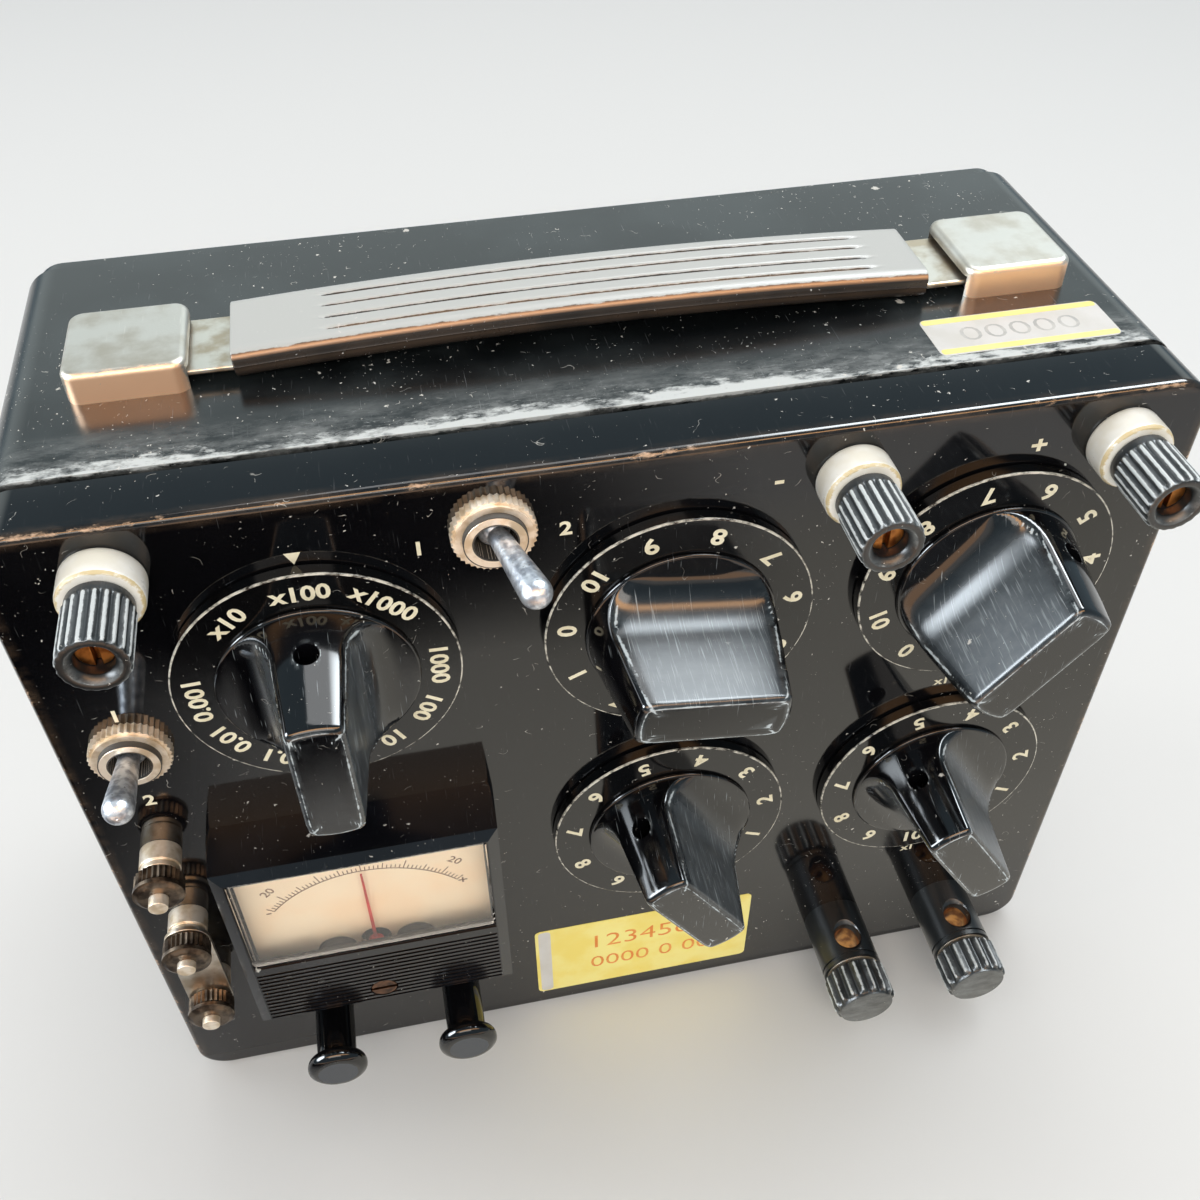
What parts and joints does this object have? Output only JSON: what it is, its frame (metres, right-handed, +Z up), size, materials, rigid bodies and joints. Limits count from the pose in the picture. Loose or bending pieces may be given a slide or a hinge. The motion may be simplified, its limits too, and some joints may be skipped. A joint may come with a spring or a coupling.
{
  "type": "portable wheatstone bridge",
  "caption": "Portable wheatstone bridge: black case with strap handle, rotary decade dials, galvanometer, press keys, toggles and binding posts for measuring resistance.",
  "frame": {"origin": "centre of the flat underside of the case, halfway between the panel face and the rear cover's back", "axes": "+X to the right as seen from the front, +Y from the panel into the case, +Z up to the handle"},
  "size_m": [0.23, 0.13, 0.1946],
  "materials": {
    "case_plastic": "moulded black phenolic, semi-gloss, scuffed edges",
    "panel_plastic": "gloss black moulded panel",
    "knob_plastic": "gloss black moulded phenolic",
    "dial_enamel": "black enamelled disc with pale printed numbers",
    "nickel": "nickel-plated steel, brushed, slightly tarnished",
    "bright_nickel": "nickel-plated brass, polished",
    "steel": "plain steel",
    "brass": "turned brass",
    "collar_plastic": "white moulded insulator",
    "post_plastic": "black fluted plastic, worn pale on the ridges",
    "grip_vinyl": "dark grey soft vinyl",
    "meter_plastic": "black moulded meter housing",
    "window_clear": "clear acrylic",
    "scale_paint": "cream painted scale plate with printed marks",
    "pointer_red": "red lacquered aluminium pointer",
    "movement_dark": "dark magnet and movement frame",
    "phenolic_board": "brown phenolic laminate",
    "ceramic_spool": "ceramic resistor spools with wire",
    "rubber_foot": "black rubber",
    "cell_jacket": "jacketed dry cells",
    "box_plastic": "dark moulded battery tray"
  },
  "bodies": {
    "root": {"front_panel": "panel_plastic", "rear_case": "case_plastic", "rear_cover": "case_plastic", "case_screws": "steel", "rear_feet": "rubber_foot", "handle_anchors": "steel", "handle_caps": "nickel", "multiply_switch": "brass", "decade_switches": "brass", "resistor_board": "phenolic_board", "resistor_bobbins": "ceramic_spool", "toggle_bodies": "box_plastic", "toggle_nuts": "bright_nickel", "button_guides": "box_plastic", "battery_button_spring": "steel", "galvo_button_spring": "steel", "key_contacts": "phenolic_board", "meter_case": "meter_plastic", "meter_window": "window_clear", "meter_scale": "scale_paint", "meter_movement": "movement_dark", "post_collars": "collar_plastic", "post_studs": "brass", "clamp_bases": "bright_nickel", "link_strap": "bright_nickel", "rx_post_bodies": "knob_plastic", "rx_post_cores": "brass", "battery_box": "box_plastic", "batteries": "cell_jacket"},
    "handle": {"handle_grip": "grip_vinyl", "handle_strap": "nickel"},
    "battery_toggle": {"battery_toggle_lever": "bright_nickel"},
    "range_toggle": {"range_toggle_lever": "bright_nickel"},
    "battery_key": {"battery_button": "knob_plastic"},
    "galvo_key": {"galvo_button": "knob_plastic"},
    "pointer": {"meter_pointer": "pointer_red"},
    "zero_screw": {"meter_zero_screw": "movement_dark"},
    "g_cap": {"g_post_cap": "post_plastic"},
    "minus_cap": {"minus_post_cap": "post_plastic"},
    "plus_cap": {"plus_post_cap": "post_plastic"},
    "top_nut": {"clamp_nut_top": "bright_nickel"},
    "middle_nut": {"clamp_nut_middle": "bright_nickel"},
    "bottom_nut": {"clamp_nut_bottom": "bright_nickel"},
    "left_rx_cap": {"rx_cap_left": "post_plastic"},
    "right_rx_cap": {"rx_cap_right": "post_plastic"},
    "multiply_control": {"multiply_dial": "dial_enamel", "multiply_knob": "knob_plastic", "multiply_spindle": "brass"},
    "x1000_control": {"x1000_dial": "dial_enamel", "x1000_knob": "knob_plastic", "x1000_spindle": "brass"},
    "x100_control": {"x100_dial": "dial_enamel", "x100_knob": "knob_plastic", "x100_spindle": "brass"},
    "x10_control": {"x10_dial": "dial_enamel", "x10_knob": "knob_plastic", "x10_spindle": "brass"},
    "x1_control": {"x1_dial": "dial_enamel", "x1_knob": "knob_plastic", "x1_spindle": "brass"}
  },
  "joints": [
    {"name": "multiply_turn", "type": "hinge", "parent": "root", "child": "multiply_control", "pos_m": [-0.0618, -0.0485, 0.1445], "axis": [0, 1, 0], "range_deg": [-270, 30]},
    {"name": "x1000_turn", "type": "hinge", "parent": "root", "child": "x1000_control", "pos_m": [0.0094, -0.0485, 0.1445], "axis": [0, 1, 0], "range_deg": [-98.18, 229.09]},
    {"name": "x100_turn", "type": "hinge", "parent": "root", "child": "x100_control", "pos_m": [0.0744, -0.0485, 0.1445], "axis": [0, 1, 0], "range_deg": [-37.73, 289.55]},
    {"name": "x10_turn", "type": "hinge", "parent": "root", "child": "x10_control", "pos_m": [0.0094, -0.0485, 0.0778], "axis": [0, 1, 0], "range_deg": [-327.27, 0]},
    {"name": "x1_turn", "type": "hinge", "parent": "root", "child": "x1_control", "pos_m": [0.0744, -0.0485, 0.0778], "axis": [0, 1, 0], "range_deg": [-327.27, 0]},
    {"name": "battery_toggle_tilt", "type": "hinge", "parent": "root", "child": "battery_toggle", "pos_m": [-0.026, -0.0485, 0.174], "axis": [0, 0, 1], "range_deg": [-29.4, 0]},
    {"name": "range_toggle_tilt", "type": "hinge", "parent": "root", "child": "range_toggle", "pos_m": [-0.1007, -0.0485, 0.13], "axis": [1, 0, 0], "range_deg": [0, 29.4]},
    {"name": "battery_press", "type": "slide", "parent": "root", "child": "battery_key", "axis": [0, 1, 0], "range_m": [0, 0.0035], "stiffness_N_per_m": 300, "springref_m": -0.002, "deforming": ["battery_button_spring"]},
    {"name": "galvo_press", "type": "slide", "parent": "root", "child": "galvo_key", "axis": [0, 1, 0], "range_m": [0, 0.0035], "stiffness_N_per_m": 300, "springref_m": -0.002, "deforming": ["galvo_button_spring"]},
    {"name": "pointer_swing", "type": "hinge", "parent": "root", "child": "pointer", "pos_m": [-0.0622, -0.0485, 0.0605], "axis": [0, 1, 0], "range_deg": [-40, 40], "stiffness_Nm_per_rad": 0.0004},
    {"name": "zero_turn", "type": "hinge", "parent": "root", "child": "zero_screw", "pos_m": [-0.0625, -0.0485, 0.0469], "axis": [0, 1, 0], "range_deg": [-60, 60]},
    {"name": "g_cap_screw", "type": "slide", "parent": "root", "child": "g_cap", "axis": [0, -1, 0], "range_m": [0, 0.006]},
    {"name": "minus_cap_screw", "type": "slide", "parent": "root", "child": "minus_cap", "axis": [0, -1, 0], "range_m": [0, 0.006]},
    {"name": "plus_cap_screw", "type": "slide", "parent": "root", "child": "plus_cap", "axis": [0, -1, 0], "range_m": [0, 0.006]},
    {"name": "top_nut_screw", "type": "slide", "parent": "root", "child": "top_nut", "axis": [0, -1, 0], "range_m": [0, 0.003]},
    {"name": "middle_nut_screw", "type": "slide", "parent": "root", "child": "middle_nut", "axis": [0, -1, 0], "range_m": [0, 0.002]},
    {"name": "bottom_nut_screw", "type": "slide", "parent": "root", "child": "bottom_nut", "axis": [0, -1, 0], "range_m": [0, 0.002]},
    {"name": "left_rx_screw", "type": "slide", "parent": "root", "child": "left_rx_cap", "axis": [0, -1, 0], "range_m": [-0.0008, 0.005]},
    {"name": "right_rx_screw", "type": "slide", "parent": "root", "child": "right_rx_cap", "axis": [0, -1, 0], "range_m": [-0.0008, 0.005]},
    {"name": "handle_lift", "type": "slide", "parent": "root", "child": "handle", "axis": [0, 0, 1], "range_m": [0, 0.012], "stiffness_N_per_m": 150, "deforming": ["handle_strap"]}
  ]
}
